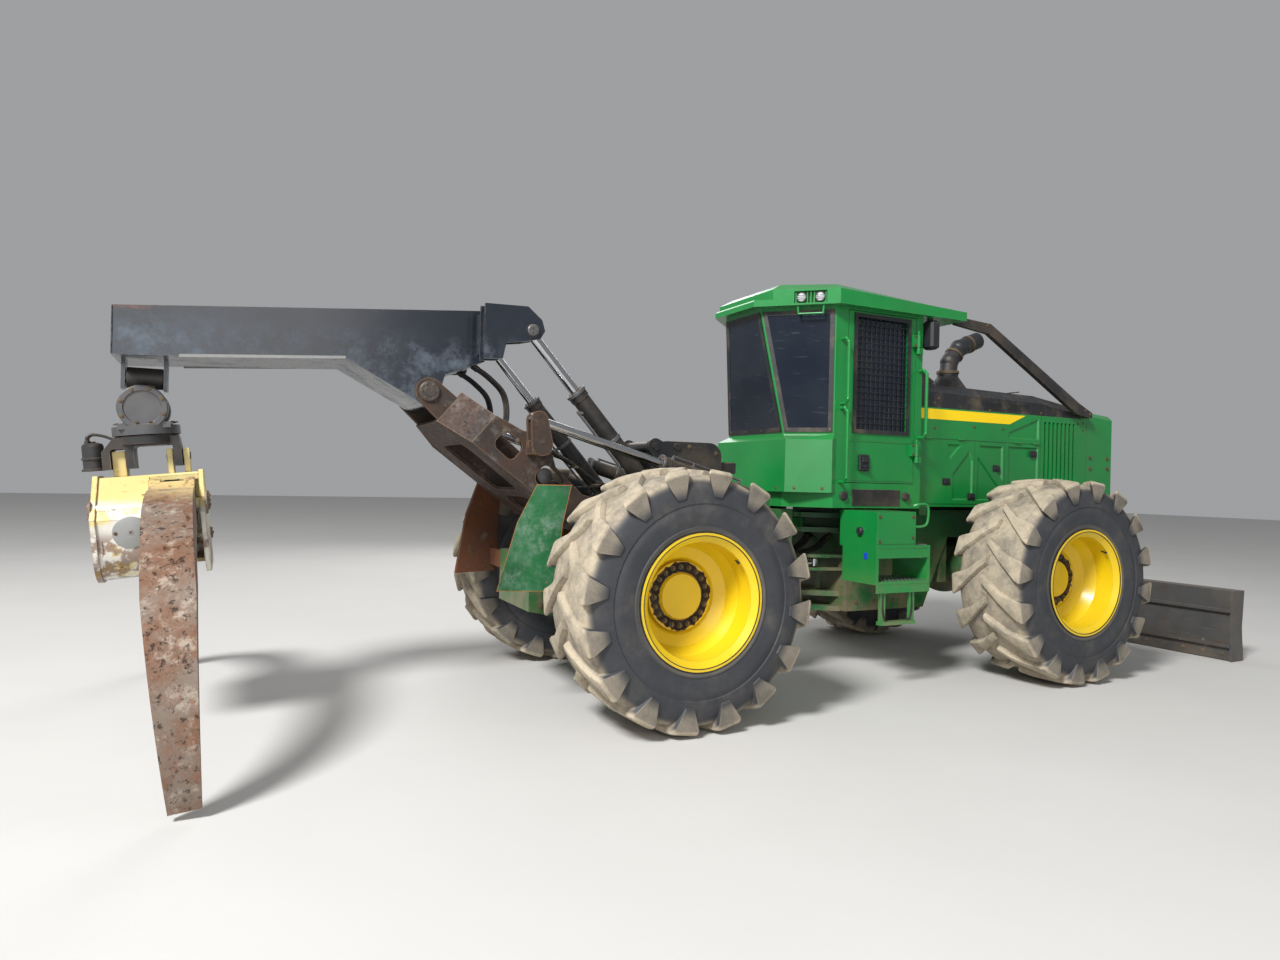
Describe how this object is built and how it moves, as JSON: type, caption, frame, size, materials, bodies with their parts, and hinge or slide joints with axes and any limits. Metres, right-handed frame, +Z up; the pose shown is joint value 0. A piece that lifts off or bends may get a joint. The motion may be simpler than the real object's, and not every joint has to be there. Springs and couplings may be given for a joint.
{
  "type": "grapple skidder",
  "caption": "Articulated forestry machine with a closed cab, front blade, rear arch and boom, and a hanging, turning log grapple",
  "frame": {"origin": "on the ground under the middle of the machine's box, blade to grapple", "axes": "+X forwards to the blade, +Y to the machine's left, +Z up"},
  "size_m": [10.3113, 3.6904, 3.4772],
  "materials": {
    "green_paint": "worn gloss",
    "frame_paint": "worn satin",
    "yellow_paint": "worn satin",
    "tyre": "dusty",
    "black_plastic": "matt",
    "engine": "oily",
    "glass": "dusty",
    "seat": "matt",
    "blade_steel": "scraped",
    "barrel_black": "satin",
    "rod_chrome": "bright",
    "rusty_steel": "rusty",
    "boom_paint": "scratched gloss",
    "grey_steel": "worn",
    "cream_paint": "chipped",
    "tong_steel": "rusty",
    "winch_steel": "worn"
  },
  "bodies": {
    "front": {"front_frame": "frame_paint", "engine_block": "engine", "cab_shell": "green_paint", "cab_roof": "green_paint", "cab_glass": "glass", "cab_inside": "seat", "hood_top": "black_plastic", "hood_side_right": "green_paint", "hood_side_left": "green_paint", "radiator_housing": "green_paint", "exhaust": "black_plastic", "limb_risers": "black_plastic", "steps_right": "green_paint", "steps_left": "green_paint", "handrails": "green_paint"},
    "front_axle": {"front_axle": "frame_paint"},
    "wheel_front_left": {"tyre_front_left": "tyre", "rim_front_left": "yellow_paint"},
    "wheel_front_right": {"tyre_front_right": "tyre", "rim_front_right": "yellow_paint"},
    "wheel_rear_left": {"tyre_rear_left": "tyre", "rim_rear_left": "yellow_paint"},
    "wheel_rear_right": {"tyre_rear_right": "tyre", "rim_rear_right": "yellow_paint"},
    "door_right": {"door_right": "green_paint"},
    "door_left": {"door_left": "green_paint"},
    "blade": {"blade": "blade_steel"},
    "blade_barrels": {"blade_barrels": "barrel_black"},
    "blade_rods": {"blade_rods": "rod_chrome"},
    "rear": {"rear_frame": "frame_paint", "rear_axle": "frame_paint", "tail_guards": "rusty_steel", "winch_frame": "barrel_black"},
    "winch_drum": {"winch_drum": "winch_steel"},
    "steer_barrel_left": {"steer_barrel_left": "barrel_black"},
    "steer_barrel_right": {"steer_barrel_right": "barrel_black"},
    "steer_rod_left": {"steer_rod_left": "rod_chrome"},
    "steer_rod_right": {"steer_rod_right": "rod_chrome"},
    "arch": {"arch": "rusty_steel", "boom_barrels": "barrel_black"},
    "arch_barrels": {"arch_barrels": "barrel_black"},
    "arch_rods": {"arch_rods": "rod_chrome"},
    "boom_rods": {"boom_rods": "rod_chrome"},
    "boom": {"boom": "boom_paint"},
    "crosshead": {"crosshead": "grey_steel"},
    "snubber": {"snubber": "grey_steel"},
    "grapple": {"yoke": "grey_steel", "grapple_head": "cream_paint"},
    "tong_right": {"tong_right": "tong_steel"},
    "tong_left": {"tong_left": "tong_steel"},
    "tong_barrel_right": {"tong_barrel_right": "barrel_black"},
    "tong_barrel_left": {"tong_barrel_left": "barrel_black"},
    "tong_rod_right": {"tong_rod_right": "rod_chrome"},
    "tong_rod_left": {"tong_rod_left": "rod_chrome"}
  },
  "joints": [
    {"name": "steering", "type": "hinge", "parent": "front", "child": "rear", "pos_m": [0.56, 0, 1.005], "axis": [0, 0, 1], "range_deg": [-45, 45]},
    {"name": "front_axle_swing", "type": "hinge", "parent": "front", "child": "front_axle", "pos_m": [2.51, 0, 0.914], "axis": [1, 0, 0], "range_deg": [-15, 15]},
    {"name": "wheel_front_left_spin", "type": "hinge", "parent": "front_axle", "child": "wheel_front_left", "pos_m": [2.51, 1.302, 0.914], "axis": [0, 1, 0], "continuous": true},
    {"name": "wheel_front_right_spin", "type": "hinge", "parent": "front_axle", "child": "wheel_front_right", "pos_m": [2.51, -1.302, 0.914], "axis": [0, 1, 0], "continuous": true},
    {"name": "wheel_rear_left_spin", "type": "hinge", "parent": "rear", "child": "wheel_rear_left", "pos_m": [-1.39, 1.302, 0.914], "axis": [0, 1, 0], "continuous": true},
    {"name": "wheel_rear_right_spin", "type": "hinge", "parent": "rear", "child": "wheel_rear_right", "pos_m": [-1.39, -1.302, 0.914], "axis": [0, 1, 0], "continuous": true},
    {"name": "door_right_swing", "type": "hinge", "parent": "front", "child": "door_right", "pos_m": [1.335, -0.774, 2.44], "axis": [0, 0, 1], "range_deg": [0, 90]},
    {"name": "door_left_swing", "type": "hinge", "parent": "front", "child": "door_left", "pos_m": [1.335, 0.774, 2.44], "axis": [0, 0, -1], "range_deg": [0, 90]},
    {"name": "blade_lift", "type": "hinge", "parent": "front", "child": "blade", "pos_m": [3.85, 0, 0.9], "axis": [0, -1, 0], "range_deg": [-6, 32]},
    {"name": "blade_barrels_swing", "type": "hinge", "parent": "front", "child": "blade_barrels", "pos_m": [4.3, 0, 1.33], "axis": [0, -1, 0], "range_deg": [-7.3, 38.6]},
    {"name": "blade_rods_slide", "type": "slide", "parent": "blade_barrels", "child": "blade_rods", "axis": [0.685, 0, -0.7285], "range_m": [-0.325, 0.062]},
    {"name": "arch_swing", "type": "hinge", "parent": "rear", "child": "arch", "pos_m": [-0.845, 0, 1.205], "axis": [0, -1, 0], "range_deg": [-40, 6]},
    {"name": "arch_barrels_swing", "type": "hinge", "parent": "rear", "child": "arch_barrels", "pos_m": [-0.34, 0, 1.597], "axis": [0, -1, 0], "range_deg": [-35.1, 5.3]},
    {"name": "arch_rods_slide", "type": "slide", "parent": "arch_barrels", "child": "arch_rods", "axis": [-0.9622, 0, 0.2722], "range_m": [-0.406, 0.062]},
    {"name": "boom_lift", "type": "hinge", "parent": "arch", "child": "boom", "pos_m": [-2.975, 0, 2.335], "axis": [0, 1, 0], "range_deg": [-30, 12]},
    {"name": "boom_rods_slide", "type": "slide", "parent": "arch", "child": "boom_rods", "axis": [-0.6655, 0, 0.7464], "range_m": [-0.1745, 0.4345]},
    {"name": "grapple_side_swing", "type": "hinge", "parent": "boom", "child": "crosshead", "pos_m": [-4.78, 0, 2.33], "axis": [1, 0, 0], "range_deg": [-30, 30]},
    {"name": "grapple_fore_aft_swing", "type": "hinge", "parent": "crosshead", "child": "snubber", "pos_m": [-4.78, 0, 2.125], "axis": [0, -1, 0], "range_deg": [-41, 29]},
    {"name": "grapple_rotation", "type": "hinge", "parent": "snubber", "child": "grapple", "pos_m": [-4.76171, 0, 1.95096], "axis": [-0.1045, 0, 0.9945], "continuous": true},
    {"name": "tong_right_swing", "type": "hinge", "parent": "grapple", "child": "tong_right", "pos_m": [-4.71206, -0.36, 1.47856], "axis": [0.9945, 0, 0.1045], "range_deg": [-4, 62]},
    {"name": "tong_left_swing", "type": "hinge", "parent": "grapple", "child": "tong_left", "pos_m": [-4.71206, 0.36, 1.47856], "axis": [-0.9945, 0, -0.1045], "range_deg": [-4, 62]},
    {"name": "tong_barrel_right_swing", "type": "hinge", "parent": "grapple", "child": "tong_barrel_right", "pos_m": [-4.55522, 0.33, 1.25875], "axis": [0.9945, 0, 0.1045], "range_deg": [-0.25, 3.2]},
    {"name": "tong_barrel_left_swing", "type": "hinge", "parent": "grapple", "child": "tong_barrel_left", "pos_m": [-4.81976, -0.33, 1.23095], "axis": [-0.9945, 0, -0.1045], "range_deg": [-0.25, 3.2]},
    {"name": "tong_rod_right_slide", "type": "slide", "parent": "tong_barrel_right", "child": "tong_rod_right", "axis": [-0.0558, -0.8455, 0.5311], "range_m": [-0.0116, 0.1766]},
    {"name": "tong_rod_left_slide", "type": "slide", "parent": "tong_barrel_left", "child": "tong_rod_left", "axis": [-0.0558, 0.8455, 0.5311], "range_m": [-0.0116, 0.1766]},
    {"name": "winch_drum_spin", "type": "hinge", "parent": "rear", "child": "winch_drum", "pos_m": [-0.83, 0, 1.79], "axis": [0, 1, 0], "continuous": true},
    {"name": "steer_barrel_left_swing", "type": "hinge", "parent": "rear", "child": "steer_barrel_left", "pos_m": [-0.24, 0.25, 1.005], "axis": [0, 0, 1], "range_deg": [-2.5, 2.5]},
    {"name": "steer_barrel_right_swing", "type": "hinge", "parent": "rear", "child": "steer_barrel_right", "pos_m": [-0.24, -0.25, 1.005], "axis": [0, 0, 1], "range_deg": [-2.5, 2.5]},
    {"name": "steer_rod_left_slide", "type": "slide", "parent": "steer_barrel_left", "child": "steer_rod_left", "axis": [1, 0, 0], "range_m": [-0.183, 0.183]},
    {"name": "steer_rod_right_slide", "type": "slide", "parent": "steer_barrel_right", "child": "steer_rod_right", "axis": [1, 0, 0], "range_m": [-0.183, 0.183]}
  ],
  "couplings": [
    {"joint": "blade_barrels_swing", "follows": "blade_lift", "ratio": 1.202},
    {"joint": "blade_rods_slide", "follows": "blade_lift", "m_per_rad": -0.58005},
    {"joint": "arch_barrels_swing", "follows": "arch_swing", "ratio": 0.8744},
    {"joint": "arch_rods_slide", "follows": "arch_swing", "m_per_rad": 0.57905},
    {"joint": "boom_rods_slide", "follows": "boom_lift", "m_per_rad": -0.828},
    {"joint": "tong_left_swing", "follows": "tong_right_swing", "ratio": 1},
    {"joint": "tong_barrel_right_swing", "follows": "tong_right_swing", "ratio": 0.0495},
    {"joint": "tong_barrel_left_swing", "follows": "tong_right_swing", "ratio": 0.0495},
    {"joint": "tong_rod_right_slide", "follows": "tong_right_swing", "m_per_rad": 0.16292},
    {"joint": "tong_rod_left_slide", "follows": "tong_right_swing", "m_per_rad": 0.16292},
    {"joint": "steer_barrel_left_swing", "follows": "steering", "ratio": -0.0548},
    {"joint": "steer_barrel_right_swing", "follows": "steering", "ratio": -0.0548},
    {"joint": "steer_rod_left_slide", "follows": "steering", "m_per_rad": 0.23186},
    {"joint": "steer_rod_right_slide", "follows": "steering", "m_per_rad": -0.23186}
  ]
}
